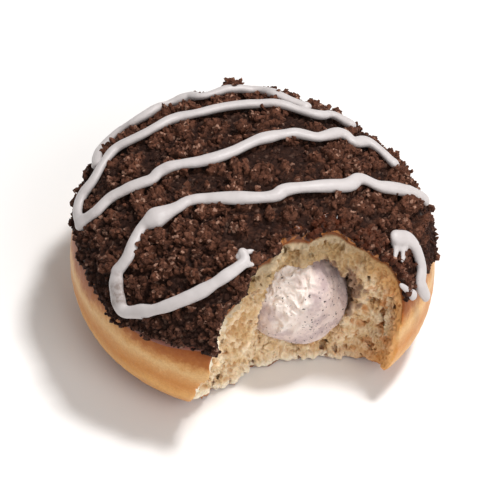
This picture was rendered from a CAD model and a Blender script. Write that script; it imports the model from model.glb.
# %% [markdown]
# # A filled doughnut with a bite out of it
# A doughnut like this is one round of yeast dough, fried so that a pale belt is left round its
# middle, filled with cream, dipped upside down in chocolate icing, pressed into broken cookie and
# striped with white icing. This lesson builds those layers in the same order as the kitchen does.
# The solids of the CAD part give the size, and every layer here keeps to them.

# %% The fixed frame
import itertools
import math
import random

import bmesh
import bpy
import numpy as np
from mathutils import Euler, Matrix, Vector, noise
from mathutils.bvhtree import BVHTree
from mathutils.kdtree import KDTree


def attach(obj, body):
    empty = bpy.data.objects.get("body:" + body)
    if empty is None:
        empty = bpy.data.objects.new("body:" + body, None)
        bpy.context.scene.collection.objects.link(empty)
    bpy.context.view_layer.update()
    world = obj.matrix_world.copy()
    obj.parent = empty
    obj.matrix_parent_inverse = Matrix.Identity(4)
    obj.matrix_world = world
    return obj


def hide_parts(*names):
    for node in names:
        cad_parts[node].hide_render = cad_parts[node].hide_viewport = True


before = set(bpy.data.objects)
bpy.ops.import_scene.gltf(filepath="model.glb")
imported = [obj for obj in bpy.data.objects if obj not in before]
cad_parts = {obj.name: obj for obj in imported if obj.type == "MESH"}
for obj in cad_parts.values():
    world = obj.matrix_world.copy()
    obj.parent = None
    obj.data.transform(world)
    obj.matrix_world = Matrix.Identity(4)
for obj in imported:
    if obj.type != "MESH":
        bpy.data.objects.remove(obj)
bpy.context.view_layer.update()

MM = 0.001

# %% [markdown]
# ## The view
# The photograph looks down on the doughnut from about 44 degrees with a long lens, which keeps the
# round outline from bulging. The camera is placed from that angle, with its small roll, rather than
# by eye, so that every layer can be held against the photograph point by point.

# %% The camera
ELEVATION = math.radians(44)
ROLL = 0.051
LENS_DISTANCE = 0.7
PIXELS_PER_MM = 4.188
back = Vector((0, -math.cos(ELEVATION), math.sin(ELEVATION)))
level = Vector((1, 0, 0))
steep = Vector((0, math.sin(ELEVATION), math.cos(ELEVATION)))
right = math.cos(ROLL) * level + math.sin(ROLL) * steep
up = math.cos(ROLL) * steep - math.sin(ROLL) * level
aim = Vector((0, 0, 20)) * MM - right * 12 / PIXELS_PER_MM * MM + up * 10 / PIXELS_PER_MM * MM
lens = bpy.data.cameras.new("camera")
lens.sensor_width = 36
lens.lens = 36 * LENS_DISTANCE * PIXELS_PER_MM / 480 / MM
camera = bpy.data.objects.new("camera", lens)
facing = Matrix((right, up, back)).transposed().to_4x4()
camera.matrix_world = Matrix.Translation(aim + back * LENS_DISTANCE) @ facing
bpy.context.scene.collection.objects.link(camera)
bpy.context.scene.camera = camera
print("lens:", round(lens.lens, 1), "mm")

# %% [markdown]
# ## The shape of the bun
# A ball of dough settles into a cushion: flat below, domed above, widest at the belt. One function
# gives the point of its skin at any bearing and climb, moved out by any distance, so icing and
# crumbs can follow it exactly. Low noise keeps it hand made. The numbers are those of the solids.

# %% The skin as a function
BUN_RADIUS = 43.2 * MM
BELT_HEIGHT = 18.5 * MM
CROWN_RISE = 25.6 * MM
BASE_DROP = 20.5 * MM
CROWN_ROUNDNESS = 2.3
BASE_ROUNDNESS = 3.0
BULGE = 1.3 * MM
BULGE_BEARING = math.radians(-5)
BULGE_HALF_WIDTH = math.radians(50)
BULGE_FADE = math.radians(22)
FLAT = 1.9 * MM
FLAT_BEARING = math.radians(36)
FLAT_HALF_WIDTH = math.radians(52)
FLAT_FULL_CLIMB = math.radians(25)
UNEVEN_SIZE = 34 * MM
UNEVEN_DEPTH = 0.9 * MM
UNEVEN_FROM = 3 * MM
UNEVEN_FULL = 14 * MM


def smooth_step(value, low, high):
    share = min(1.0, max(0.0, (value - low) / (high - low)))
    return share * share * (3 - 2 * share)


def near(bearing, middle, half_width):
    """1 at the middle bearing, falling smoothly to 0 at half_width from it."""
    return smooth_step(1 - abs(math.remainder(bearing - middle, math.tau)) / half_width, 0.0, 1.0)


def bun_point(bearing, climb, offset):
    """The point of the skin, moved out by offset, at a bearing and a climb from the belt."""
    upper = climb > 0
    roundness = CROWN_ROUNDNESS if upper else BASE_ROUNDNESS
    rise = (CROWN_RISE if upper else BASE_DROP) + offset
    bulge = BULGE * near(bearing, BULGE_BEARING, BULGE_HALF_WIDTH)
    flat = FLAT * near(bearing, FLAT_BEARING, FLAT_HALF_WIDTH)
    uneven = bulge * smooth_step(-climb, -BULGE_FADE, BULGE_FADE)
    uneven -= flat * smooth_step(climb, 0.0, FLAT_FULL_CLIMB)
    radius = (BUN_RADIUS + offset + uneven) * math.cos(climb) ** (2 / roundness)
    lift = rise * abs(math.sin(climb)) ** (2 / roundness)
    height = max(-offset, BELT_HEIGHT + (lift if upper else -lift))
    point = Vector((radius * math.cos(bearing), radius * math.sin(bearing), height))
    push = noise.noise_vector(point / UNEVEN_SIZE) * UNEVEN_DEPTH
    return point + push * smooth_step(point.z, UNEVEN_FROM, UNEVEN_FULL)


EDGE_CLIMB = math.radians(17)


def crowded(climb, crowding):
    """Moves a ring of points towards the icing's edge, the more the higher the crowding."""
    reach = (math.pi / 2 - EDGE_CLIMB) if climb > EDGE_CLIMB else -(math.pi / 2 + EDGE_CLIMB)
    return EDGE_CLIMB + reach * ((climb - EDGE_CLIMB) / reach) ** crowding


def bun_shape(segments, rings, offset_at, crowding=1.0):
    """A sphere drawn out into the bun, with an offset that can vary over it."""
    bm = bmesh.new()
    bmesh.ops.create_uvsphere(bm, u_segments=segments, v_segments=rings, radius=1.0)
    for vertex in bm.verts:
        bearing = math.atan2(vertex.co.y, vertex.co.x)
        climb = crowded(math.asin(max(-1.0, min(1.0, vertex.co.z))), crowding)
        vertex.co = bun_point(bearing, climb, offset_at(bearing, climb))
    return bm


skin = bun_shape(180, 90, lambda bearing, climb: 0.0)
skin_tree = BVHTree.FromBMesh(skin)


def skin_depth(place):
    """How far inside the skin a place is, below 0 outside it."""
    nearest, normal, _, distance = skin_tree.find_nearest(place)
    return distance if (place - nearest).dot(normal) < 0 else -distance


reach = max(vertex.co.x for vertex in skin.verts)
print("bun:", round(reach / MM, 1), "mm from its middle to its right side")
skin.free()

# %% [markdown]
# ## The layers' edges
# The icing runs down the side in a slow wave, and the crumbs stop a little above it at the front
# left, where a lip of bare icing shows. Both edges are heights that wander round the bun.

# %% Heights of the icing and of the crumbs
LAYER_GAP = 0.3 * MM
ICING_OUTSIDE = LAYER_GAP + 0.8 * MM
CRUMB_THICKNESS = 1.8 * MM
CRUMB_THIN = 0.15
CRUMB_THIN_OVER = 11 * MM
CRUMB_LEAST = 0.6 * MM
CRAGS = ((7.5 * MM, 2.6 * MM), (13 * MM, 1.6 * MM))
ICING_EDGE_HEIGHT = 26.6 * MM
EDGE_TAPER = 0.7 * MM
TUCKED_IN = 1.2 * MM
LIP_BEARING = math.radians(-118)
LIP_HALF_WIDTH = math.radians(40)
LIP_SAG = 1.2 * MM
LIP_BARE = 1.5 * MM
ICING_RISES = (
    (2.6 * MM, math.radians(-172), math.radians(45)),
    (2.4 * MM, math.radians(-33), math.radians(20)),
)


def wave_round(bearing, size, waves, phase):
    """A height that wanders up and down round the bun."""
    return size * 2 * noise.noise(Vector((math.cos(bearing), math.sin(bearing), phase)) * waves)


def icing_edge(bearing):
    rise = sum(size * near(bearing, middle, half) for size, middle, half in ICING_RISES)
    sag = LIP_SAG * near(bearing, LIP_BEARING, LIP_HALF_WIDTH)
    return ICING_EDGE_HEIGHT + rise - sag + wave_round(bearing, 1.0 * MM, 2.2, 0.0)


def crumb_edge(bearing):
    lip = LIP_BARE * near(bearing, LIP_BEARING, LIP_HALF_WIDTH)
    return icing_edge(bearing) + lip + wave_round(bearing, 0.8 * MM, 5.0, 1.0)


def layer_offset(bearing, climb, outer, edge):
    """The layer's offset above its lower edge, and tucked inside the dough below it."""
    share = smooth_step(bun_point(bearing, climb, outer).z, edge - EDGE_TAPER, edge + EDGE_TAPER)
    return outer * share - TUCKED_IN * (1 - share)


def crust_fullness(bearing, climb):
    """The crust is thin by its lower edge, where few crumbs stay on the steep side."""
    rise = bun_point(bearing, climb, 0).z - crumb_edge(bearing)
    return CRUMB_THIN + (1 - CRUMB_THIN) * smooth_step(rise, 0.0, CRUMB_THIN_OVER)


def crust_outside(bearing, climb):
    return ICING_OUTSIDE + LAYER_GAP + CRUMB_THICKNESS * crust_fullness(bearing, climb)


def crumb_offset(bearing, climb):
    """The crust's outer face, with its large crags."""
    place = bun_point(bearing, climb, 0)
    crag = sum(depth * noise.noise(place / size) for size, depth in CRAGS)
    crag *= crust_fullness(bearing, climb)
    outer = max(ICING_OUTSIDE + LAYER_GAP + CRUMB_LEAST, crust_outside(bearing, climb) + crag)
    return layer_offset(bearing, climb, outer, crumb_edge(bearing))


print("icing stops", round(icing_edge(LIP_BEARING) / MM, 1), "mm up at the lip")

# %% [markdown]
# ## The bite
# Front teeth leave a row of round scoops on an arch, and dough tears rather than cuts. The space
# that was bitten off is one tube whose wall is the envelope of leaning circles, roughened by noise.
# Cutting every layer with the same tube makes the layers line up at the bite.

# %% The tube that the teeth took out
BITE_FLOOR = -6 * MM
BITE_CEILING = 60 * MM
BITE_MARK_HEIGHT = 40 * MM
BITE_CENTRE_LOW = Vector((18, -49)) * MM
BITE_CENTRE_HIGH = Vector((25, -47)) * MM
BITE_CORE_RADIUS = 25.5 * MM
TOOTH_RADIUS = 7.6 * MM
TEETH = [
    ((-6.8, -38.0), (2.8, -39.6)),
    ((-3.0, -33.0), (6.4, -32.2)),
    ((4.0, -27.0), (11.7, -25.8)),
    ((11.0, -24.0), (18.4, -23.0)),
    ((17.0, -22.4), (24.8, -23.8)),
    ((23.3, -21.9), (30.7, -24.6)),
    ((25.5, -27.0), (27.0, -33.0)),
]
TORN = ((7 * MM, 1.3 * MM), (3 * MM, 0.7 * MM))
BACK_BEARING = math.radians(98)
BACK_HALF_WIDTH = math.radians(46)


def between(low, high, height):
    return low.lerp(high, height / BITE_MARK_HEIGHT)


def reach_to_circle(start, direction, centre, radius):
    """How far along direction the circle's far side is, or 0 where the line misses it."""
    along = (centre - start).dot(direction)
    aside = (centre - start - direction * along).length
    return along + math.sqrt(radius**2 - aside**2) if aside < radius else 0.0


def bite_side(bearing, height):
    """The bite's centre and the place of its wall, at one bearing and height."""
    direction = Vector((math.cos(bearing), math.sin(bearing)))
    centre = between(BITE_CENTRE_LOW, BITE_CENTRE_HIGH, height)
    marks = [between(Vector(low) * MM, Vector(high) * MM, height) for low, high in TEETH]
    reaches = [reach_to_circle(centre, direction, mark, TOOTH_RADIUS) for mark in marks]
    reach = max(BITE_CORE_RADIUS, *reaches)
    side = centre + direction * reach
    place = Vector((side.x, side.y, height))
    side += direction * sum(depth * noise.noise(place / size) for size, depth in TORN)
    return centre, Vector((side.x, side.y, height))


def way_out(bearing):
    return Vector((math.cos(bearing), math.sin(bearing), 0))


def bite_shape(margin_at=lambda bearing: 0.0):
    bm = bmesh.new()
    bmesh.ops.create_cone(bm, cap_ends=True, segments=260, radius1=1, radius2=1, depth=1)
    uprights = [edge for edge in bm.edges if abs(edge.verts[0].co.z - edge.verts[1].co.z) > 0.5]
    bmesh.ops.subdivide_edges(bm, edges=uprights, cuts=80, use_grid_fill=True)
    for vertex in bm.verts:
        height = BITE_FLOOR + (vertex.co.z + 0.5) * (BITE_CEILING - BITE_FLOOR)
        bearing = math.atan2(vertex.co.y, vertex.co.x)
        vertex.co = bite_side(bearing, height)[1] + way_out(bearing) * margin_at(bearing)
    return bm


def from_bite(place):
    """Distance in plan from the bite's wall, below 0 in the bitten-off space."""
    centre = between(BITE_CENTRE_LOW, BITE_CENTRE_HIGH, place.z)
    arm = place.xy - centre
    _, side = bite_side(math.atan2(arm.y, arm.x), place.z)
    return arm.length - (side.xy - centre).length


def above_bite(place):
    """1 above the back of the bite, 0 round at its sides."""
    arm = place.xy - BITE_CENTRE_HIGH
    return near(math.atan2(arm.y, arm.x), BACK_BEARING, BACK_HALF_WIDTH)


# %% [markdown]
# ## Helpers for solid shapes
# Booleans join and cut the layers. A voxel remesh then gives one even, closed skin that can be
# pushed in and out for texture. Each modifier is applied at once, so the next step sees its result.

# %% Making, cutting and remeshing
studio = bpy.context.scene.collection


def make_object(name, bm, material=None):
    """Turns a bmesh into a named object, faces pointing out."""
    bmesh.ops.recalc_face_normals(bm, faces=bm.faces)
    mesh = bpy.data.meshes.new(name)
    bm.to_mesh(mesh)
    bm.free()
    made = bpy.data.objects.new(name, mesh)
    studio.objects.link(made)
    if material:
        mesh.materials.append(material)
    return made


def apply_modifiers(target):
    bpy.context.view_layer.update()
    evaluated = target.evaluated_get(bpy.context.evaluated_depsgraph_get())
    mesh = bpy.data.meshes.new_from_object(evaluated)
    target.modifiers.clear()
    old = target.data
    target.data = mesh
    target.data.materials.clear()
    bpy.data.meshes.remove(old)


def cut(target, *cutters):
    for cutter in cutters:
        boolean = target.modifiers.new("cut", "BOOLEAN")
        boolean.operation = "DIFFERENCE"
        boolean.solver = "MANIFOLD"
        boolean.object = cutter
    apply_modifiers(target)


def merge_shapes(name, bmeshes):
    """Several closed shapes in one object, still overlapping."""
    whole = bmesh.new()
    for bm in bmeshes:
        mesh = bpy.data.meshes.new("part")
        bm.to_mesh(mesh)
        bm.free()
        whole.from_mesh(mesh)
        bpy.data.meshes.remove(mesh)
    return make_object(name, whole)


def remesh(target, voxel):
    """One even skin round everything in the object."""
    made = target.modifiers.new("remesh", "REMESH")
    made.mode = "VOXEL"
    made.voxel_size = voxel
    apply_modifiers(target)


def keep_largest_body(target):
    """Drops loose scraps, so that one closed body is left."""
    bm = bmesh.new()
    bm.from_mesh(target.data)
    left = set(bm.verts)
    bodies = []
    while left:
        waiting = [left.pop()]
        body = set(waiting)
        while waiting:
            for edge in waiting.pop().link_edges:
                for vertex in edge.verts:
                    if vertex in left:
                        left.discard(vertex)
                        body.add(vertex)
                        waiting.append(vertex)
        bodies.append(body)
    largest = max(bodies, key=len)
    scraps = [vertex for vertex in bm.verts if vertex not in largest]
    bmesh.ops.delete(bm, geom=scraps, context="VERTS")
    bm.to_mesh(target.data)
    bm.free()


def soften(bm):
    axes = {"use_axis_x": True, "use_axis_y": True, "use_axis_z": True}
    bmesh.ops.smooth_vert(bm, verts=bm.verts, factor=0.5, **axes)


def report(piece):
    triangles = sum(len(face.vertices) - 2 for face in piece.data.polygons)
    print(f"{piece.name}: {triangles} triangles")


bite = make_object("bite", bite_shape())
print("bite tube:", len(bite.data.vertices), "points")

# %% [markdown]
# ## Shader sums
# Food colours are mixtures: of crust and crumb, of syrup and dust. A small class wraps a socket so
# that such mixtures can be written as sums, and one method adds every other node.

# %% Materials written as expressions
class Value:
    """A socket that can stand in a sum: each operator adds the Math node that does it."""

    def __init__(self, paint, socket):
        self.paint = paint
        self.socket = socket

    def math(self, operation, *numbers):
        return self.paint.node("ShaderNodeMath", {"operation": operation}, dict(enumerate(numbers)))

    def __add__(self, other):
        return self.math("ADD", self, other)

    def __sub__(self, other):
        return self.math("SUBTRACT", self, other)

    def __rsub__(self, other):
        return self.math("SUBTRACT", other, self)

    def __mul__(self, other):
        return self.math("MULTIPLY", self, other)

    __radd__ = __add__
    __rmul__ = __mul__


def colour(red, green, blue):
    """An 8-bit screen colour as the linear values that a shader takes."""
    channels = [c / 255 for c in (red, green, blue)]
    return [c / 12.92 if c <= 0.04045 else ((c + 0.055) / 1.055) ** 2.4 for c in channels] + [1.0]


class Paint:
    """A material: its shader with fixed numbers, and the nodes that vary it."""

    def __init__(self, name, numbers):
        self.material = bpy.data.materials.new(name)
        self.material.use_nodes = True
        self.tree = self.material.node_tree
        self.shader = self.tree.nodes["Principled BSDF"]
        for socket, number in numbers.items():
            self.shader.inputs[socket].default_value = number
        self.place = self.node("ShaderNodeTexCoord", output="Object")

    def feed(self, socket, value):
        if isinstance(value, Value):
            self.tree.links.new(value.socket, socket)
        else:
            socket.default_value = value

    def node(self, kind, settings=None, inputs=None, output=0):
        """Adds any node: its settings first, then the values or links of its sockets."""
        made = self.tree.nodes.new(kind)
        for name, value in (settings or {}).items():
            if name == "stops":
                while len(made.color_ramp.elements) < len(value):
                    made.color_ramp.elements.new(0.5)
                for element, (position, tint) in zip(made.color_ramp.elements, value):
                    element.position = position
                    element.color = tint
            else:
                setattr(made, name, value)
        for name, value in (inputs or {}).items():
            self.feed(made.inputs[name], value)
        return Value(self, made.outputs[output])

    def mix(self, share, *tints):
        """Mixes two tints, each a socket or an 8-bit screen colour."""
        low, high = [tint if isinstance(tint, Value) else colour(*tint) for tint in tints]
        return self.node("ShaderNodeMix", {"data_type": "RGBA"}, {0: share, 6: low, 7: high}, 2)

    def step(self, value, low, high):
        """0 below low, 1 above high, smooth between them."""
        numbers = {"Value": value, "From Min": low, "From Max": high}
        return self.node("ShaderNodeMapRange", {"interpolation_type": "SMOOTHSTEP"}, numbers)

    def blotches(self, size, detail=3.0, roughness=0.5):
        """Soft noise round 0.5 with features of the given size."""
        numbers = {"Scale": 1 / size, "Detail": detail, "Roughness": roughness}
        return self.node("ShaderNodeTexNoise", {}, {"Vector": self.place, **numbers})

    def patches(self, low, high, *noise_numbers):
        """The same noise drawn apart: 0 below low, 1 above high."""
        return self.step(self.blotches(*noise_numbers), low, high)

    def axis(self, name, vector=None):
        return self.node("ShaderNodeSeparateXYZ", {}, {0: vector or self.place}, name)

    def mask(self, name):
        """A number stored with the mesh's points."""
        return self.node("ShaderNodeAttribute", {"attribute_name": name}, output="Fac")

    def finish(self, base, bump, depth, roughness=None):
        numbers = {"Height": bump, "Distance": depth, "Strength": 1.0}
        relief = self.node("ShaderNodeBump", {}, numbers, "Normal")
        self.feed(self.shader.inputs["Base Color"], base)
        self.feed(self.shader.inputs["Normal"], relief)
        if roughness is not None:
            self.feed(self.shader.inputs["Roughness"], roughness)
        return self.material


def store_mask(piece, name, numbers):
    piece.data.attributes.new(name, "FLOAT", "POINT").data.foreach_set("value", numbers)


def mask_by(piece, name, rule):
    """Stores what a rule gives for the place of each point."""
    store_mask(piece, name, [rule(vertex.co) for vertex in piece.data.vertices])


# %% [markdown]
# ## The dough
# Torn bread shows bubbles of all sizes cut open, soft ridges between them and loose flaps at the
# base. Real bubbles are subtracted and tufts added round the bite before the remesh, and then the
# torn wall alone is refined and pitted, so the smooth fried skin spends few faces.

# %% Cream ball, hollow and pocket
CREAM_CENTRE = Vector((10.4, -12.0, 20.0)) * MM
CREAM_RADII = Vector((12.0, 12.6, 13.2)) * MM
CREAM_LUMP = 0.9 * MM
CREAM_LUMP_SIZE = 9 * MM
CAVITY_ROOM = 0.35 * MM
POCKET_CENTRE = Vector((16.4, -14.6, 23.0)) * MM
POCKET_RADII = Vector((8.0, 6.6, 10.2)) * MM


def egg_shape(centre, radii, detail, room):
    """An egg-shaped body with soft lumps, moved out all round by room."""
    bm = bmesh.new()
    bmesh.ops.create_icosphere(bm, subdivisions=detail, radius=1.0)
    for vertex in bm.verts:
        outward = vertex.co.normalized()
        place = centre + vertex.co * radii
        vertex.co = place + outward * (room + CREAM_LUMP * 2 * noise.noise(place / CREAM_LUMP_SIZE))
    return bm


cavity = make_object("cavity", egg_shape(CREAM_CENTRE, CREAM_RADII, 5, CAVITY_ROOM))
pocket = make_object("pocket", egg_shape(POCKET_CENTRE, POCKET_RADII, 5, 0.0))

# %% Bubbles and tufts round the bite
BUBBLE_COUNT = 210
TUFT_COUNT = 120
TUFT_SPANS = ((0.4, 0.7), (0.4, 0.7), (0.9, 1.5))
TONGUES = (
    (146, 1.3, 2.4), (137, 1.0, 2.6), (125, 0.9, 2.2), (116, 1.8, 3.6), (106, 1.1, 2.8),
    (95, 1.6, 3.4), (84, 0.8, 2.0),
)
draw = random.Random(7)


def lump(place, radii, turn):
    """A small knocked ball, stretched and turned."""
    bm = bmesh.new()
    bmesh.ops.create_icosphere(bm, subdivisions=2, radius=1.0)
    for vertex in bm.verts:
        vertex.co *= 1 + 0.35 * noise.noise(vertex.co * 1.3 + place / (5 * MM))
    stretch = Matrix.Diagonal((*radii, 1))
    stand = Matrix.Translation(place) @ turn.to_matrix().to_4x4()
    bmesh.ops.transform(bm, matrix=stand @ stretch, verts=bm.verts)
    return bm


def any_turn():
    return Euler([draw.uniform(0, math.tau) for _ in range(3)])


def wall_place(depth, low, high):
    """A random place on the bite's wall, depth behind it."""
    bearing = math.radians(draw.uniform(66, 156))
    _, side = bite_side(bearing, draw.uniform(low, high))
    return side + way_out(bearing) * depth


bubbles = []
while len(bubbles) < BUBBLE_COUNT:
    size = 0.5 + 1.5 * draw.random() ** 2.2
    place = wall_place(draw.uniform(-0.4, 0.9) * size * MM, 2 * MM, 43 * MM)
    if skin_depth(place) > (size + 1.0) * MM:
        radii = [size * MM * draw.uniform(0.7, 1.4) for _ in range(3)]
        bubbles.append(lump(place, radii, any_turn()))
tufts = []
while len(tufts) < TUFT_COUNT:
    size = draw.uniform(0.5, 1.3)
    highest = 9 * MM if draw.random() < 0.5 else 40 * MM
    place = wall_place(-0.2 * size * MM, 0.8 * MM, highest)
    if skin_depth(place) > 0.6 * MM:
        radii = [size * MM * draw.uniform(*span) for span in TUFT_SPANS]
        tufts.append(lump(place, radii, any_turn()))
for degrees, breadth, length in TONGUES:
    bearing = math.radians(degrees)
    _, side = bite_side(bearing, length * MM)
    inward = -way_out(bearing) * 0.3 * MM
    radii = (0.9 * MM, breadth * MM, length * MM)
    tufts.append(lump(side + inward, radii, Euler((draw.uniform(-0.2, 0.2), 0.12, bearing))))
print(len(bubbles), "bubbles and", len(tufts), "tufts")

# %% The dough's body
DOUGH_VOXEL = 0.5 * MM
HOLE_VOXEL = 0.3 * MM
dough = make_object("fried_dough", bun_shape(200, 100, lambda bearing, climb: 0.0))
cut(dough, bite, cavity, pocket)
holes = merge_shapes("holes", bubbles)
remesh(holes, HOLE_VOXEL)
cut(dough, holes)
torn = merge_shapes("torn", tufts)
whole = bmesh.new()
whole.from_mesh(dough.data)
whole.from_mesh(torn.data)
whole.to_mesh(dough.data)
whole.free()
for helper in (holes, torn):
    bpy.data.objects.remove(helper)
remesh(dough, DOUGH_VOXEL)
keep_largest_body(dough)
report(dough)

# %% The torn wall, refined and pitted
WALL_FROM = 0.45 * MM


def foam(place, size):
    """Open cells with thin walls between them: 0 in a cell, 1 on a wall."""
    swirl = noise.noise_vector(place / (size * 2.2)) * 0.9
    distances, _ = noise.voronoi(place / size + swirl)
    return 1 - smooth_step(distances[1] - distances[0], 0.0, 0.55)


def wall_relief(place):
    """How far the torn wall stands out at a place."""
    patch = smooth_step(noise.noise(place / (8 * MM)), -0.4, 0.2)
    pulled = Vector((place.x, place.y, place.z * 0.7))
    coarse = foam(pulled, 3.1 * MM) * 0.85 * patch
    middle = foam(pulled + Vector((0.01, 0, 0)), 1.5 * MM) * 0.65
    fine = foam(place + Vector((0, 0.02, 0)), 0.85 * MM) * 0.4
    fibre = 0.5 * noise.noise(Vector((place.x, place.y, place.z * 0.35)) / (0.8 * MM))
    return (coarse + middle + fine + fibre - 0.95) * MM


def rim_relief(place, depth):
    """Dense crumb under the crust stands out here and there as a ridge."""
    size = 0.35 * MM * (0.6 + noise.noise(place / (4 * MM)))
    size *= smooth_step(depth, 0.4 * MM, 1.1 * MM)
    return size * (1 - smooth_step(depth, 1.8 * MM, 3.4 * MM))


def rim_at(depth):
    start = smooth_step(depth, 0.45 * MM, 0.9 * MM)
    return start * (1 - smooth_step(depth, 1.7 * MM, 3.2 * MM))


bm = bmesh.new()
bm.from_mesh(dough.data)
walls = {vertex for vertex in bm.verts if skin_depth(vertex.co) > WALL_FROM}
edges = [edge for edge in bm.edges if edge.verts[0] in walls and edge.verts[1] in walls]
bmesh.ops.subdivide_edges(bm, edges=edges, cuts=1, use_grid_fill=True)
soften(bm)
bm.normal_update()
moved = []
pushes = []
for vertex in bm.verts:
    depth = skin_depth(vertex.co)
    share = smooth_step(depth, 0.3 * MM, 1.8 * MM)
    push = 0.14 * noise.noise(vertex.co / (2.0 * MM)) * MM
    push *= smooth_step(vertex.co.z, 1 * MM, 5 * MM) * (1 - share)
    if share > 0:
        push += wall_relief(vertex.co) * share + rim_relief(vertex.co, depth)
    pushes.append(push)
    moved.append(vertex.co + vertex.normal * push)
for vertex, place in zip(bm.verts, moved):
    vertex.co = place
    vertex.co.z = max(0.0, place.z)
bmesh.ops.triangulate(bm, faces=bm.faces)
bm.to_mesh(dough.data)
bm.free()
dough.data.shade_smooth()
depths = [skin_depth(vertex.co) for vertex in dough.data.vertices]
store_mask(dough, "inside", [smooth_step(depth, 0.35 * MM, 0.8 * MM) for depth in depths])
store_mask(dough, "rim", [rim_at(depth) for depth in depths])
store_mask(dough, "raised", [smooth_step(push, -0.5 * MM, 0.35 * MM) for push in pushes])
store_mask(dough, "near_skin", [1 - smooth_step(depth, 1.5 * MM, 6.5 * MM) for depth in depths])


def sole_at(place):
    """The brown bottom crust, bare where no tongue of crumb hangs over it."""
    if place.z > 5 * MM:
        return 0.0
    low = 1 - smooth_step(place.z + 1.2 * MM * noise.noise(place / (1.5 * MM)), 1.5 * MM, 2.6 * MM)
    return low * smooth_step(from_bite(place), -0.5 * MM, 0.0)


mask_by(dough, "sole", sole_at)


def stain_at(place):
    """Damp from the filling, strongest in the pocket that it pulled away from."""
    aside = (place - POCKET_CENTRE).length / (10.5 * MM)
    return 1 - smooth_step(aside + 0.3 * noise.noise(place / (2 * MM)), 0.85, 1.1)


mask_by(dough, "stain", stain_at)
report(dough)

# %% [markdown]
# ### The colour of fried dough
# Where the dough lay in oil it is golden brown, and the belt that floated above it stays pale. The
# colour is a ramp over height, blurred by blotches. Inside, the crumb is cream to tan, brown just
# under the crust and grey-brown where the filling soaked in.

# %% Dough material
RIGHT_SIDE = (16 * MM, 32 * MM)
UNDER_CROWN = (26 * MM, 37 * MM)
paint = Paint("fried_dough", {
    "Specular IOR Level": 0.3, "Subsurface Weight": 0.1, "Subsurface Scale": 0.002,
    "Subsurface Radius": (1.0, 0.5, 0.25),
})
height = paint.axis("Z")
broad = paint.blotches(9 * MM, 2.0)
mottle = paint.blotches(1.3 * MM, 5.0, 0.7)
ramp_place = (height * (1 / (45 * MM))) + (broad - 0.5) * 0.09 + (mottle - 0.5) * 0.09
skin_stops = [
    (0.00, colour(150, 84, 32)),
    (0.10, colour(196, 124, 54)),
    (0.24, colour(232, 176, 104)),
    (0.33, colour(206, 136, 64)),
    (0.39, colour(214, 156, 92)),
    (0.44, colour(226, 184, 126)),
    (0.48, colour(210, 154, 88)),
    (0.52, colour(170, 98, 34)),
    (0.57, colour(146, 72, 8)),
    (0.80, colour(132, 66, 10)),
]
skin_tone = paint.node("ShaderNodeValToRGB", {"stops": skin_stops}, {0: ramp_place}, "Color")
speckle = paint.patches(0.3, 0.7, 0.5 * MM, 3.0, 0.7)
skin_tone = paint.mix((1 - speckle) * 0.25, skin_tone, (150, 86, 34))
crumb_patches = paint.patches(0.36, 0.64, 4 * MM, 5.0, 0.6)
crumb_tone = paint.mix(crumb_patches, (244, 222, 190), (222, 188, 142))
right_side = paint.step(paint.axis("X"), *RIGHT_SIDE)
brown_patches = paint.patches(0.49, 0.61, 3.6 * MM, 3.0)
for share, tint in (
    ((1 - paint.mask("raised")) * 0.65, (200, 152, 98)),
    (brown_patches * right_side * 0.75, (202, 132, 68)),
    (paint.mask("near_skin") * right_side * 0.8, (226, 160, 88)),
    (paint.mask("rim") * (1 - right_side) * 0.95, (252, 238, 214)),
    (paint.step(height, *UNDER_CROWN) * 0.7, (164, 132, 86)),
    (paint.mask("stain") * 0.9, (142, 110, 90)),
    (paint.mask("sole") * 0.9, (136, 76, 32)),
):
    crumb_tone = paint.mix(share, crumb_tone, tint)
inside = paint.mask("inside")
tone = paint.mix(inside, skin_tone, crumb_tone)
pores = (paint.blotches(0.5 * MM, 3.0, 0.6) + mottle * 0.6) * (0.3 + inside * 0.7)
dough.data.materials.append(paint.finish(tone, pores, 0.3 * MM, inside * 0.35 + 0.42))
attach(dough, "root")
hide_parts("dough")

# %% [markdown]
# ## The filling
# Whipped filling breaks with fluffy ridges where the teeth pulled it, and is smooth where it was
# pressed. A ball of fine faces is pushed out by ridged noise. Ground cookie shows in it as specks,
# some of them painted, and the largest real bits half sunk in its face.

# %% Cream ball
RIDGE_DIRECTION = Vector((-0.14, -0.80, 0.58)).normalized()


def fluffy_at(place):
    """Torn and fluffy along the middle of the face, smooth and pressed round it."""
    aside = (place - CREAM_CENTRE).normalized() - RIDGE_DIRECTION
    reach = Vector((aside.x * 1.5, aside.y, aside.z * 0.75)).length
    return 1 - smooth_step(reach + 0.5 * noise.noise(place / (3.5 * MM)), 0.35, 0.85)


def cream_relief(place):
    swirl = place + noise.noise_vector(place / (4 * MM)) * 1.2 * MM
    fluff = 0
    for size in (2.8, 1.3, 0.65):
        fluff += size * (0.35 - abs(noise.noise(swirl / (size * MM) + Vector((3, 1, 2)))))
    return (0.16 + 0.5 * fluffy_at(place)) * fluff * MM


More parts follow.
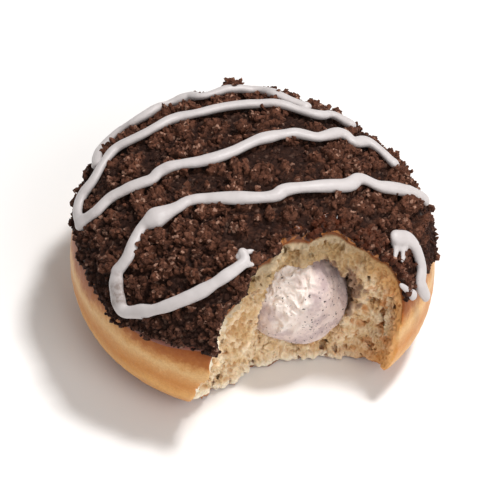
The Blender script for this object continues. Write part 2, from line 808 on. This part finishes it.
cream_bm = egg_shape(CREAM_CENTRE, CREAM_RADII, 7, 0.0)
CREAM_FACES_KEPT = 0.35
cream_bm.normal_update()
cream_places = [vertex.co + vertex.normal * cream_relief(vertex.co) for vertex in cream_bm.verts]
for vertex, place in zip(cream_bm.verts, cream_places):
    vertex.co = place
cream = make_object("cream_ball", cream_bm)
thinner = cream.modifiers.new("thin_out", "DECIMATE")
thinner.ratio = CREAM_FACES_KEPT
apply_modifiers(cream)
cream.data.shade_smooth()
mask_by(cream, "fluffy", fluffy_at)
paint = Paint("cookies_and_cream", {
    "Roughness": 0.5, "Subsurface Weight": 0.2, "Subsurface Scale": 0.0015,
    "Subsurface Radius": (1.0, 0.8, 0.7),
})
fluffy = paint.mask("fluffy")
veins = paint.patches(0.42, 0.62, 3.5 * MM, 6.0, 0.65)
tone = paint.mix(veins, (224, 204, 196), (192, 170, 168))
tone = paint.mix(fluffy * 0.85, tone, (250, 236, 226))
dust = paint.patches(0.60, 0.74, 0.45 * MM, 5.0, 0.75)
tone = paint.mix(dust * (0.55 - fluffy * 0.25), tone, (112, 90, 86))
crowding = (paint.blotches(6 * MM) - 0.5) * 0.25
specks = paint.step(paint.blotches(0.9 * MM, 2.0, 0.5) + crowding, 0.665, 0.70)
tone = paint.mix(specks * 0.85, tone, (58, 42, 40))
cream.data.materials.append(paint.finish(tone, paint.blotches(0.6 * MM, 4.0, 0.6), 0.25 * MM))
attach(cream, "root")
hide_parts("cream_filling")
report(cream)

# %% [markdown]
# ## The chocolate icing
# Dipped icing is an even skin under a millimetre thick. Near the bite it has melted and soaked up
# between the crumbs, so it stands higher there and shows as glossy caramel in their gaps.

# %% Icing skin
POOL = 1.0 * MM


def melt_at(place):
    """Syrup stands between the crumbs above the back of the bite, in uneven pools."""
    aside = from_bite(place) + 3 * MM * noise.noise(place / (3.5 * MM))
    return (1 - smooth_step(aside, 2.5 * MM, 7 * MM)) * above_bite(place)


def melted_offset(bearing, climb):
    place = bun_point(bearing, climb, 0)
    pool = POOL * melt_at(place) * (0.8 + noise.noise(place / (1.6 * MM)))
    pool *= smooth_step(from_bite(place), 0.0, 2.2 * MM)
    return layer_offset(bearing, climb, ICING_OUTSIDE + pool, icing_edge(bearing))


def lip_at(place):
    return near(math.atan2(place.y, place.x), LIP_BEARING, LIP_HALF_WIDTH)


def icing_room_offset(bearing, climb):
    return layer_offset(bearing, climb, ICING_OUTSIDE + LAYER_GAP, icing_edge(bearing) - 0.8 * MM)


dough_room = make_object("dough_room", bun_shape(180, 80, lambda bearing, climb: LAYER_GAP * 0.5))
icing_room = make_object("icing_room", bun_shape(120, 60, icing_room_offset, 1.3))
icing = make_object("icing_skin", bun_shape(300, 150, melted_offset, 1.2))
cut(icing, bite, dough_room)
keep_largest_body(icing)
icing.data.shade_smooth()
icing.data.set_sharp_from_angle(angle=math.radians(50))
mask_by(icing, "lip", lip_at)
mask_by(icing, "melt", melt_at)
mask_by(icing, "rim", lambda place: 1 - smooth_step(from_bite(place), 0.1 * MM, 0.6 * MM))
paint = Paint("chocolate_icing", {
    "Coat Weight": 0.12, "Coat Roughness": 0.1, "Specular IOR Level": 0.3,
})
milk = paint.mix(paint.blotches(4 * MM), (138, 78, 60), (104, 54, 40))
milk = paint.mix(paint.step(paint.mask("lip"), 0.1, 0.6), (146, 80, 32), milk)
syrup = paint.mix(paint.patches(0.4, 0.6, 2.5 * MM), (78, 32, 10), (38, 15, 7))
melt = paint.mask("melt")
tone = paint.mix(melt, milk, syrup)
golden = paint.mix(paint.patches(0.4, 0.6, 1.5 * MM), (186, 112, 40), (84, 38, 12))
tone = paint.mix(paint.mask("rim") * 0.85, tone, golden)
gloss = 0.5 - melt * 0.28
icing.data.materials.append(paint.finish(tone, paint.blotches(1.2 * MM), 0.4 * MM, gloss))
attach(icing, "root")
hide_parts("chocolate_icing")
report(icing)

# %% [markdown]
# ## The cookie crust
# Broken cookie packs into a crust of lumps that are themselves made of grains. The large lumps are
# those of the solid, from the same seed. Smaller ones fill in between them. A remesh fuses them
# and grains of three sizes are raised over the whole.

# %% The solid's lumps
CHUNK_COUNT = 170
CHUNK_LARGEST = 4.4 * MM
CHUNK_SMALLEST = 1.9 * MM
CHUNK_FEW_LARGE = 1.3
CHUNK_FINE_FROM = 3.2 * MM
CHUNK_LOWEST_DROP = 68
CHUNK_SHAKE = 2.5
CHUNK_TILT = math.radians(25)
CHUNK_WIDTHS = (0.8, 1.15)
CHUNK_HEIGHTS = (0.6, 0.85)
CHUNK_KNOCKS = (0.8, 1.15)
CHUNK_PROUD = 2.3 * MM
CHUNK_PROUD_UNDER_STRAND = 1.1 * MM
PRESSED = 0.8 * MM
PRESSED_BEARING = math.radians(50)
PRESSED_HALF_WIDTH = math.radians(42)
GOLDEN_ANGLE = math.pi * (3 - math.sqrt(5))
STRAND_RADIUS = 1.45 * MM
STRAND_ROUTES = {
    "rear": [
        (-54, 15), (-56, 27), (-48, 32), (-40, 31), (-33, 34), (-30, 41), (-23, 43),
        (-18, 38), (-10, 41), (-1, 43), (5, 36), (13, 32),
    ],
    "upper": [
        (28, 31), (22, 33), (16, 28), (2, 29), (-9, 27), (-17, 24), (-24, 23), (-30, 19), (-38, 17),
        (-45, 16), (-49, 11), (-54, 5), (-60, 1), (-62, -6), (-59, -12),
    ],
    "middle": [
        (-59, -12), (-50, -11), (-43, -7), (-29, -4), (-24, -1), (-8, 2), (1, 8), (9, 13), (16, 14),
        (24, 20), (28, 18), (34, 22), (43, 16),
    ],
    "lower": [
        (59, 8), (45, 3), (36, 0), (28, 0), (23, -4), (8, -8), (3, -11), (-14, -12), (-20, -15),
        (-28, -19), (-32, -22), (-37, -31), (-43, -36),
    ],
    "loop": [
        (-43, -36), (-45, -43), (-45, -51), (-38, -52), (-30, -51), (-22, -48), (-13, -43),
        (-3, -34), (-3, -30),
    ],
    "right": [(44, -18), (49, -17), (55, -19), (62, -23), (65, -29), (73, -31)],
    "right_bit": [(51, -31), (54, -32), (61, -34)],
}


def skin_angles(east, north):
    """Bearing and climb of a place given by its drop from the crown along +X and +Y."""
    return math.atan2(north, east), math.radians(90 - math.hypot(east, north))


def smooth_route(route, step):
    """Points every step along a smooth curve through the route's own points."""
    ends = [route[0]] + route + [route[-1]]
    points = []
    for before, start, end, after in zip(ends, ends[1:], ends[2:], ends[3:]):
        count = max(1, round((end - start).length / step))
        for index in range(count):
            t = index / count
            bend = (2 * before - 5 * start + 4 * end - after) * t**2
            bend += (3 * start - before - 3 * end + after) * t**3
            points.append(0.5 * (2 * start + (end - before) * t + bend))
    return points + [route[-1]]


def strand_places(route, step):
    """Points of a strand of drizzle on the map of drops."""
    return smooth_route([Vector(place) for place in route], step)


def upon_crust(bearing, climb, lift):
    under = layer_offset(bearing, climb, crust_outside(bearing, climb), crumb_edge(bearing))
    return bun_point(bearing, climb, max(0.0, under) + lift)


strand_marks = [
    upon_crust(*skin_angles(*place), 1.1 * MM)
    for route in STRAND_ROUTES.values() for place in strand_places(route, 5.5)
]


def chunk_shape(draw, place, outward, size):
    """One broken lump: a ball knocked out of shape, flattened and tilted on the crust."""
    bm = bmesh.new()
    bmesh.ops.create_icosphere(bm, subdivisions=2 if size > CHUNK_FINE_FROM else 1, radius=size)
    for vertex in bm.verts:
        vertex.co *= draw.uniform(*CHUNK_KNOCKS)
    widths = [draw.uniform(*CHUNK_WIDTHS) for _ in range(2)]
    flatten = Matrix.Diagonal((*widths, draw.uniform(*CHUNK_HEIGHTS), 1))
    tilts = [draw.uniform(-CHUNK_TILT, CHUNK_TILT) for _ in range(2)]
    turn = Euler((*tilts, draw.uniform(0, math.tau))).to_matrix().to_4x4()
    stand = outward.to_track_quat("Z", "X").to_matrix().to_4x4()
    stand = Matrix.Translation(place) @ stand
    bmesh.ops.transform(bm, matrix=stand @ turn @ flatten, verts=bm.verts)
    return bm


def pressed(bearing):
    """Behind on the right the crust lies a little flatter than the solid's."""
    return PRESSED * near(bearing, PRESSED_BEARING, PRESSED_HALF_WIDTH)


def make_chunks():
    """The lumps of the solid, on a sunflower spiral shaken a little, some of them sunk deeper."""
    draw = random.Random(11)
    sinking = random.Random(5)
    shapes = []
    for index in range(CHUNK_COUNT):
        share = (index + 0.5) / CHUNK_COUNT
        drop = abs(CHUNK_LOWEST_DROP * math.sqrt(share) + draw.uniform(-CHUNK_SHAKE, CHUNK_SHAKE))
        climb = math.radians(90 - drop)
        bearing = index * GOLDEN_ANGLE
        size = CHUNK_SMALLEST + (CHUNK_LARGEST - CHUNK_SMALLEST) * draw.random() ** CHUNK_FEW_LARGE
        root = bun_point(bearing, climb, 0)
        outward = (bun_point(bearing, climb, CHUNK_LARGEST) - root).normalized()
        crust = crust_outside(bearing, climb)
        aside = min((root + outward * crust - place).length for place in strand_marks)
        proud = CHUNK_PROUD * (1 + crust_fullness(bearing, climb)) / 2
        if aside < size + STRAND_RADIUS:
            proud = CHUNK_PROUD_UNDER_STRAND
        sunk = (0.1 + 2.2 * sinking.random() ** 2.2) * MM * crust_fullness(bearing, climb)
        sunk += pressed(bearing)
        place = root + outward * (crust + proud - sunk - size * CHUNK_HEIGHTS[1])
        shapes.append(chunk_shape(draw, place, outward, size))
    return shapes


chunks = make_chunks()
print(len(chunks), "lumps")

# %% Smaller lumps between them
SMALL_LUMP_COUNT = 380
SUNK = 0.6 * MM
LEAST_CRUST = 0.35 * MM
CLUMP_DROPS = (-8.0, 44.5)
CLUMP_SIZE = 3.6 * MM
CLUMP_LIFT = 0.8 * MM
CLUMP_STRETCH = (1, 0.8, 0.9)
draw = random.Random(23)


def random_crown_angles(lowest_drop):
    """A bearing and climb, spread evenly over the crown."""
    drop = math.degrees(math.acos(1 - draw.random() * (1 - math.cos(math.radians(lowest_drop)))))
    return draw.uniform(-math.pi, math.pi), math.radians(90 - drop)


def packed_offset(bearing, climb):
    """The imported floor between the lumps, lower than the solid's outer face."""
    face = crumb_offset(bearing, climb)
    lowest = min(face, ICING_OUTSIDE + LAYER_GAP + LEAST_CRUST)
    return max(face - SUNK * crust_fullness(bearing, climb) - pressed(bearing), lowest)


small_lumps = []
while len(small_lumps) < SMALL_LUMP_COUNT:
    bearing, climb = random_crown_angles(74)
    root = bun_point(bearing, climb, 0)
    size = draw.uniform(0.6, 1.5)
    if root.z < crumb_edge(bearing) + (size + 0.4) * MM:
        continue
    outward = (bun_point(bearing, climb, 3 * MM) - root).normalized()
    radii = [size * MM * draw.uniform(0.75, 1.25) for _ in range(3)]
    proud = draw.uniform(-0.3, 0.5) * size * MM * crust_fullness(bearing, climb)
    rise = packed_offset(bearing, climb) + proud
    small_lumps.append(lump(root + outward * rise, radii, any_turn()))
bearing, climb = skin_angles(*CLUMP_DROPS)
place = bun_point(bearing, climb, crust_outside(bearing, climb) + CLUMP_LIFT)
small_lumps.append(lump(place, [CLUMP_SIZE * share for share in CLUMP_STRETCH], any_turn()))
print(len(small_lumps), "smaller lumps")

# %% The crust, fused and grained
FIRST_VOXEL = 0.5 * MM
CRUST_VOXEL = 0.34 * MM


def crumbs_kept_back(bearing):
    """How far the crumbs stop short of the bite's edge: most above its back."""
    swing = noise.noise(Vector((math.cos(bearing), math.sin(bearing), 3.0)) * 4.5)
    back = 1.7 * near(bearing, BACK_BEARING, BACK_HALF_WIDTH)
    return MM * max(-0.4, back * (0.25 + 1.8 * swing) - 0.4)


def grains(place, size):
    """Rounded grains with sharp clefts: 1 at a grain's middle, 0 in a cleft."""
    swirl = noise.noise_vector(place / (size * 1.7)) * 0.45
    distances, _ = noise.voronoi(place / size + swirl)
    return smooth_step(distances[1] - distances[0], 0.0, 0.22) * (1 - 0.6 * distances[0] ** 2)


def boulders_at(place):
    return grains(place + Vector((0, 0.03, 0)), 6.5 * MM)


def grain_relief(place):
    """How far the crust stands out or in: boulders, lumps on them and grains on those."""
    boulders = 2.7 * (boulders_at(place) - 0.75)
    lumps = 1.2 * (grains(place, 2.8 * MM) - 0.68)
    return (boulders + lumps + 0.8 * (grains(place, 1.4 * MM) - 0.66)) * MM


crumb_bite = make_object("crumb_bite", bite_shape(crumbs_kept_back))
packed = bun_shape(260, 120, packed_offset, 1.3)
crust = merge_shapes("cookie_crust", [packed] + chunks + small_lumps)
remesh(crust, FIRST_VOXEL)
cut(crust, crumb_bite, icing_room, dough_room)
remesh(crust, CRUST_VOXEL)
keep_largest_body(crust)
bm = bmesh.new()
bm.from_mesh(crust.data)
bm.normal_update()
crust_places = []
for vertex in bm.verts:
    rise = -skin_depth(vertex.co) - ICING_OUTSIDE - LAYER_GAP
    if rise < 0.05 * MM:
        crust_places.append(vertex.co)
        continue
    push = grain_relief(vertex.co) * smooth_step(rise, 0.0, 0.6 * MM)
    floor = (0.1 + 0.55 * grains(vertex.co, 1.4 * MM)) * MM
    floor *= smooth_step(rise, 0.0, 0.3 * MM)
    crust_places.append(vertex.co + vertex.normal * max(push, floor - rise))
for vertex, place in zip(bm.verts, crust_places):
    vertex.co = place
bm.to_mesh(crust.data)
bm.free()
crust.data.shade_smooth()
report(crust)


def deep_at(place):
    """In the clefts and by the lower edge in front the cookie is damp and dark."""
    in_front = near(math.atan2(place.y, place.x), math.radians(-150), math.radians(85))
    low = in_front * (1 - smooth_step(place.z, 28 * MM, 41 * MM))
    return max(0.8 * low, 1 - smooth_step(-skin_depth(place), 1.7 * MM, 3.2 * MM))


def soaked_at(place):
    """Near the bite the crumbs are soaked with syrup."""
    if place.z < 27 * MM or (place.xy - BITE_CENTRE_HIGH).length > 36 * MM:
        return 0.0
    aside = from_bite(place) + 4 * MM * noise.noise(place / (3 * MM))
    return above_bite(place) * (1 - smooth_step(aside, 1.0 * MM, 5.0 * MM))


def mask_cookie(piece):
    mask_by(piece, "deep", deep_at)
    mask_by(piece, "soaked", soaked_at)


mask_cookie(crust)
rises = np.array([-skin_depth(vertex.co) / MM for vertex in crust.data.vertices])
levels = np.percentile(rises[rises > 1.6], (5, 25, 50, 75, 95, 100))
print("crust stands out", levels.round(1), "mm")

# %% [markdown]
# ### The look of dark cookie
# Dark cookie is matt, with pale sugary grains that catch the light. Each grain gets its own tone
# from a cell pattern, and the fine relief is bump.

# %% Cookie material
paint = Paint("cookie_crumbs", {"Specular IOR Level": 0.15})
numbers = {"Vector": paint.place, "Scale": 1 / (0.75 * MM)}
cells = paint.node("ShaderNodeTexVoronoi", {}, numbers, "Color")
cell_tone = paint.axis("X", cells)
shine = paint.axis("Y", cells)
fine_tone = paint.patches(0.3, 0.7, 0.5 * MM, 3.0, 0.6)
soaked = paint.mask("soaked") * paint.patches(0.4, 0.6, 2.2 * MM)
tone = paint.mix(cell_tone * 0.6 + fine_tone * 0.4, (44, 22, 15), (126, 80, 60))
tone = paint.mix(paint.step(cell_tone, 0.90, 0.97) * 0.6, tone, (196, 154, 132))
tone = paint.mix(paint.mask("deep") * 0.85, tone, (24, 11, 8))
tone = paint.mix(soaked * 0.8, tone, (84, 34, 10))
grit = paint.blotches(0.35 * MM, 4.0, 0.7) + paint.blotches(1.0 * MM, 3.0, 0.6)
matt = 0.75 - paint.step(shine, 0.8, 0.95) * 0.35 - soaked * 0.3
cookie_material = paint.finish(tone, grit, 0.35 * MM, matt)
crust.data.materials.append(cookie_material)
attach(crust, "root")
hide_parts("cookie_topping")

# %% [markdown]
# ## Loose crumbs
# Over the crust lie crumbs of a third of a millimetre to two, which give it small sharp shadows.
# They are real meshes: broken shapes with flat faces, copied to places on the crust by arrays.

# %% Crumbs copied over the crust
CRUMB_KINDS = 10
CRUMB_SPANS = ((0.7, 1.2), (0.7, 1.2), (0.6, 1.0))


def crumb_template(corners, seed):
    """A broken crumb of unit size, as arrays of its points and triangles."""
    pick = random.Random(seed)
    bm = bmesh.new()
    for _ in range(corners):
        outward = Vector([pick.gauss(0, 1) for _ in range(3)]).normalized()
        bm.verts.new(outward * pick.uniform(0.6, 1.0))
    bmesh.ops.convex_hull(bm, input=bm.verts)
    loose = [vertex for vertex in bm.verts if not vertex.link_faces]
    bmesh.ops.delete(bm, geom=loose, context="VERTS")
    bmesh.ops.triangulate(bm, faces=bm.faces)
    bmesh.ops.recalc_face_normals(bm, faces=bm.faces)
    bm.verts.index_update()
    points = np.array([vertex.co for vertex in bm.verts])
    faces = np.array([[vertex.index for vertex in face.verts] for face in bm.faces])
    bm.free()
    return points, faces


def copy_over(name, templates, spots, material):
    """One mesh of many copies: each spot is a template's number and a matrix."""
    points, faces, start = [], [], 0
    for number, matrix in spots:
        shape, corners = templates[number]
        numbers = np.array(matrix)
        points.append(shape @ numbers[:3, :3].T + numbers[:3, 3])
        faces.append(corners + start)
        start += len(shape)
    mesh = bpy.data.meshes.new(name)
    mesh.from_pydata(np.concatenate(points), [], np.concatenate(faces))
    mesh.materials.append(material)
    made = bpy.data.objects.new(name, mesh)
    studio.objects.link(made)
    return made


def tree_of(piece):
    bm = bmesh.new()
    bm.from_mesh(piece.data)
    tree = BVHTree.FromBMesh(bm)
    bm.free()
    return tree


crust_tree = tree_of(crust)


def land_on_crust(bearing, climb):
    """The place where something that drops on the bun at these angles lands, with the way out."""
    root = bun_point(bearing, climb, 0)
    outward = (bun_point(bearing, climb, 3 * MM) - root).normalized()
    hit = crust_tree.ray_cast(root + outward * 9 * MM, -outward, 9 * MM)[0]
    return hit, outward, root


def crumb_spot(place, outward, size):
    """One crumb turned at random, a little sunk or proud."""
    radii = [size * draw.uniform(*span) for span in CRUMB_SPANS]
    middle = place + outward * size * draw.uniform(-0.2, 0.35)
    number = draw.randrange(CRUMB_KINDS)
    turn = any_turn().to_matrix().to_4x4()
    return number, Matrix.Translation(middle) @ turn @ Matrix.Diagonal((*radii, 1))


def tries(start):
    """Numbers without end, each of which seeds the draw afresh, so no try hangs on the last."""
    for number in itertools.count(start):
        draw.seed(number)
        yield number


def crumb_spots(start, count, smallest, largest):
    spots = []
    for _ in tries(start):
        if len(spots) == count:
            return spots
        bearing, climb = random_crown_angles(75)
        hit, outward, _ = land_on_crust(bearing, climb)
        if hit is None or from_bite(hit) < 0.1 * MM or boulders_at(hit) < draw.uniform(0.05, 0.55):
            continue
        size = (smallest + (largest - smallest) * draw.random() ** 2) * MM
        size *= 0.55 + 0.45 * crust_fullness(bearing, climb)
        spots.append(crumb_spot(hit, outward, size))


def edge_spots(start, count, smallest, largest):
    """Crumbs that hang at the ragged lower edge of the crust."""
    spots = []
    for _ in tries(start):
        if len(spots) == count:
            return spots
        bearing = draw.uniform(-math.pi, math.pi)
        rise = crumb_edge(bearing) + draw.uniform(-1.1, 2.4) * MM - BELT_HEIGHT
        climb = math.asin((rise / CROWN_RISE) ** (CROWN_ROUNDNESS / 2))
        size = (smallest + (largest - smallest) * draw.random() ** 2) * MM
        hit, outward, root = land_on_crust(bearing, climb)
        place = hit or root + outward * (ICING_OUTSIDE + 0.1 * MM)
        if from_bite(place) > 0.3 * MM:
            spots.append(crumb_spot(place, outward, size))


def bite_edge_spots(start, count, smallest, largest):
    """Crumbs that hang over the bite's edge, thick in places and gone in others."""
    rim = [vertex.co.copy() for vertex in icing.data.vertices]
    rim = [place for place in rim if 0 < from_bite(place) < 1.0 * MM]
    rim = sorted([place for place in rim if skin_depth(place) < -0.5 * MM], key=tuple)
    spots = []
    for _ in tries(start):
        if len(spots) == count:
            return spots
        edge = draw.choice(rim)
        bare = above_bite(edge) * smooth_step(noise.noise(edge / (3.0 * MM)), -0.05, 0.15)
        size = (smallest + (largest - smallest) * draw.random() ** 1.5) * MM
        if bare < draw.uniform(0.2, 0.9):
            outward = (edge - Vector((0, 0, 10 * MM))).normalized()
            place = edge + outward * draw.uniform(0, 1.3) * MM
            spots.append(crumb_spot(place, outward, size))


crumb_shapes = [crumb_template(16, seed) for seed in range(CRUMB_KINDS)]
grain_shapes = [crumb_template(9, seed) for seed in range(CRUMB_KINDS)]
crumb_places = crumb_spots(100000, 4000, 0.4, 1.15) + edge_spots(200000, 800, 0.4, 1.3)
crumb_places += bite_edge_spots(300000, 750, 0.4, 1.3)
dust_places = crumb_spots(400000, 6000, 0.16, 0.36)
crumbs = copy_over("cookie_crumbs", crumb_shapes, crumb_places, cookie_material)
dust = copy_over("cookie_dust", grain_shapes, dust_places, cookie_material)
for piece in (crumbs, dust):
    mask_cookie(piece)
    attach(piece, "root")
    report(piece)

# %% Ground cookie in the filling
BIT_COUNT = 420
cream_tree = tree_of(cream)
bit_spots = []
draw.seed(7)
while len(bit_spots) < BIT_COUNT:
    outward = Vector([draw.gauss(0, 1) for _ in range(3)]).normalized()
    hit = cream_tree.ray_cast(CREAM_CENTRE + outward * 20 * MM, -outward)[0]
    size = (0.10 + 0.32 * draw.random() ** 3) * MM
    bit_spots.append(crumb_spot(hit - outward * 0.3 * size, outward, size))
bit_paint = Paint("cookie_bits", {"Base Color": colour(40, 28, 27), "Roughness": 0.6})
bits = copy_over("cream_bits", grain_shapes, bit_spots, bit_paint.material)
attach(bits, "root")
report(bits)

# %% [markdown]
# ## The white drizzle
# Warm white icing falls in a thin stream, lies over the crumbs and sags a little between them. Each
# strand's height comes from casting rays on the crust and smoothing what they hit. The strands are
# tubes pressed flatter, fused by a remesh so that they flow together where they meet.

# %% Strands laid on the crust
STRAND_STEP = 0.8
STRAND_HALF_WIDTH = 1.6 * MM
STRAND_SQUASH = 0.68
STRAND_VOXEL = 0.26 * MM
SMUDGE_DROPS = (-42.5, -43.5)
THIN = (0.85, 0.32)
FINE_STRANDS = {
    "fork_upper": [(-4, -31.5), (-2, -29.8), (-0.5, -29.3)],
    "fork_lower": [(-4.5, -35), (-2.5, -34.2), (-0.5, -34)],
    "drip_left": [(45, -19), (46, -22), (46.3, -24.8)],
    "drip_right": [(48, -18), (49.5, -22), (49.8, -25)],
    "right_bit": [(63, -35), (58.5, -34.4), (54.5, -33.6)],
}
SWELLINGS = (
    (-27, -18.5, 0.65), (-23.5, -17.5, 0.25), (-42, -40.7, 0.35), (-43.5, -47, 0.45),
    (-37, -51, 0.3), (-3, -31, -0.4), (-58.5, -11.6, 0.25), (43.5, -18.9, 0.3),
    (47, -17, 0.2), (20, -2, 0.12),
)
strand_routes = {**STRAND_ROUTES, **FINE_STRANDS}


def drape(name):
    """Middles, ways out and widths along a strand, between the solid's height and the crust's."""
    places = strand_places(strand_routes[name], STRAND_STEP)
    fine = name in FINE_STRANDS
    rises, roots, outs, solid_rises = [], [], [], []
    for place in places:
        bearing, climb = skin_angles(place.x, place.y)
        hit, outward, root = land_on_crust(bearing, climb)
        rises.append((hit - root).dot(outward) if hit else 0.0)
        solid_rises.append(crust_outside(bearing, climb) + (0.7 if fine else 1.5) * MM)
        roots.append(root)
        outs.append(outward)
    laid = []
    for index, place in enumerate(places):
        span = rises[max(0, index - 4):index + 5]
        width = THIN[0] + (THIN[1] - THIN[0]) * index / len(places) if fine else 1.0
        lie = 0.3 * (sum(span) / len(span) + 0.45 * MM) + 0.7 * solid_rises[index]
        swell = 1
        for east, north, more in SWELLINGS:
            swell += more * math.exp(-(place - Vector((east, north))).length_squared / 7)
        wander = 1 + 0.25 * noise.noise(Vector((place.x, place.y, 0)) / 7)
        laid.append((roots[index] + outs[index] * lie, outs[index], width * swell * wander))
    return laid


def strand_shape(name):
    laid = drape(name)
    curve = bpy.data.curves.new(name, "CURVE")
    curve.dimensions = "3D"
    curve.bevel_depth = STRAND_HALF_WIDTH
    curve.bevel_resolution = 4
    curve.use_fill_caps = True
    spline = curve.splines.new("POLY")
    spline.points.add(len(laid) - 1)
    for point, (place, _, width) in zip(spline.points, laid):
        point.co = (*place, 1)
        point.radius = width
    guide = bpy.data.objects.new(name, curve)
    studio.objects.link(guide)
    evaluated = guide.evaluated_get(bpy.context.evaluated_depsgraph_get())
    tube = bpy.data.meshes.new_from_object(evaluated)
    bpy.data.objects.remove(guide)
    bm = bmesh.new()
    bm.from_mesh(tube)
    bmesh.ops.remove_doubles(bm, verts=bm.verts, dist=0.01 * MM)
    for place, _, width in (laid[0], laid[-1]):
        at_end = Matrix.Translation(place)
        radius = STRAND_HALF_WIDTH * width
        bmesh.ops.create_icosphere(bm, subdivisions=3, radius=radius, matrix=at_end)
    tree = KDTree(len(laid))
    for index, (place, _, _) in enumerate(laid):
        tree.insert(place, index)
    tree.balance()
    for vertex in bm.verts:
        _, index, _ = tree.find(vertex.co)
        place, out, _ = laid[index]
        along = (vertex.co - place).dot(out)
        vertex.co -= out * along * (1 - STRAND_SQUASH)
    return bm


drizzle = merge_shapes("white_drizzle", [strand_shape(name) for name in strand_routes])
remesh(drizzle, STRAND_VOXEL)
bm = bmesh.new()
bm.from_mesh(drizzle.data)
for _ in range(4):
    soften(bm)
bm.to_mesh(drizzle.data)
bm.free()
drizzle.data.shade_smooth()
bearing, climb = skin_angles(*SMUDGE_DROPS)
smudge = bun_point(bearing, climb, crust_outside(bearing, climb) + 1 * MM)


def smudge_at(place):
    """Crumbs caught in the icing grey it at one place."""
    reach = (place - smudge).length + 2 * MM * noise.noise(place / (2 * MM))
    return 1 - smooth_step(reach, 1.5 * MM, 4.5 * MM)


mask_by(drizzle, "smudge", smudge_at)
paint = Paint("white_icing", {
    "Roughness": 0.42, "Specular IOR Level": 0.35, "Subsurface Weight": 0.25,
    "Subsurface Scale": 0.001, "Subsurface Radius": (1.0, 0.95, 0.9),
})
tone = paint.mix(paint.blotches(3 * MM), (204, 197, 195), (188, 180, 178))
streaks = paint.patches(0.35, 0.65, 1.1 * MM, 4.0, 0.6)
tone = paint.mix(paint.mask("smudge") * (0.35 + streaks * 0.5), tone, (128, 112, 104))
drizzle.data.materials.append(paint.finish(tone, paint.blotches(2.5 * MM), 0.2 * MM))
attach(drizzle, "root")
report(drizzle)
for helper in (bite, crumb_bite, cavity, pocket, dough_room, icing_room):
    bpy.data.objects.remove(helper)

# %% [markdown]
# ## Light and floor
# The photograph has a white ground, a broad light from the upper right behind the doughnut and a
# soft shadow to the lower left. A pale plane, one large area lamp and an even sky do the same.

# %% Studio
floor_bm = bmesh.new()
bmesh.ops.create_grid(floor_bm, x_segments=1, y_segments=1, size=2.0)
floor_paint = Paint("floor", {"Base Color": colour(244, 242, 240), "Roughness": 0.9})
floor = make_object("floor", floor_bm, floor_paint.material)
floor.data.transform(Matrix.Translation((0, 0, -0.05 * MM)))


def add_lamp(name, place, size, power):
    data = bpy.data.lights.new(name, "AREA")
    data.size = size
    data.energy = power
    lamp = bpy.data.objects.new(name, data)
    lamp.location = place
    lamp.rotation_mode = "QUATERNION"
    lamp.rotation_quaternion = Vector(place).to_track_quat("Z", "Y")
    studio.objects.link(lamp)


add_lamp("key", (0.27, 0.10, 0.88), 0.15, 6.5)
add_lamp("fill", (0.40, -0.60, 0.60), 0.50, 3.0)
world = bpy.data.worlds.new("studio")
world.use_nodes = True
world.node_tree.nodes["Background"].inputs["Color"].default_value = (1.0, 1.0, 1.0, 1.0)
world.node_tree.nodes["Background"].inputs["Strength"].default_value = 0.39
bpy.context.scene.world = world
bpy.context.scene.view_settings.view_transform = "Standard"
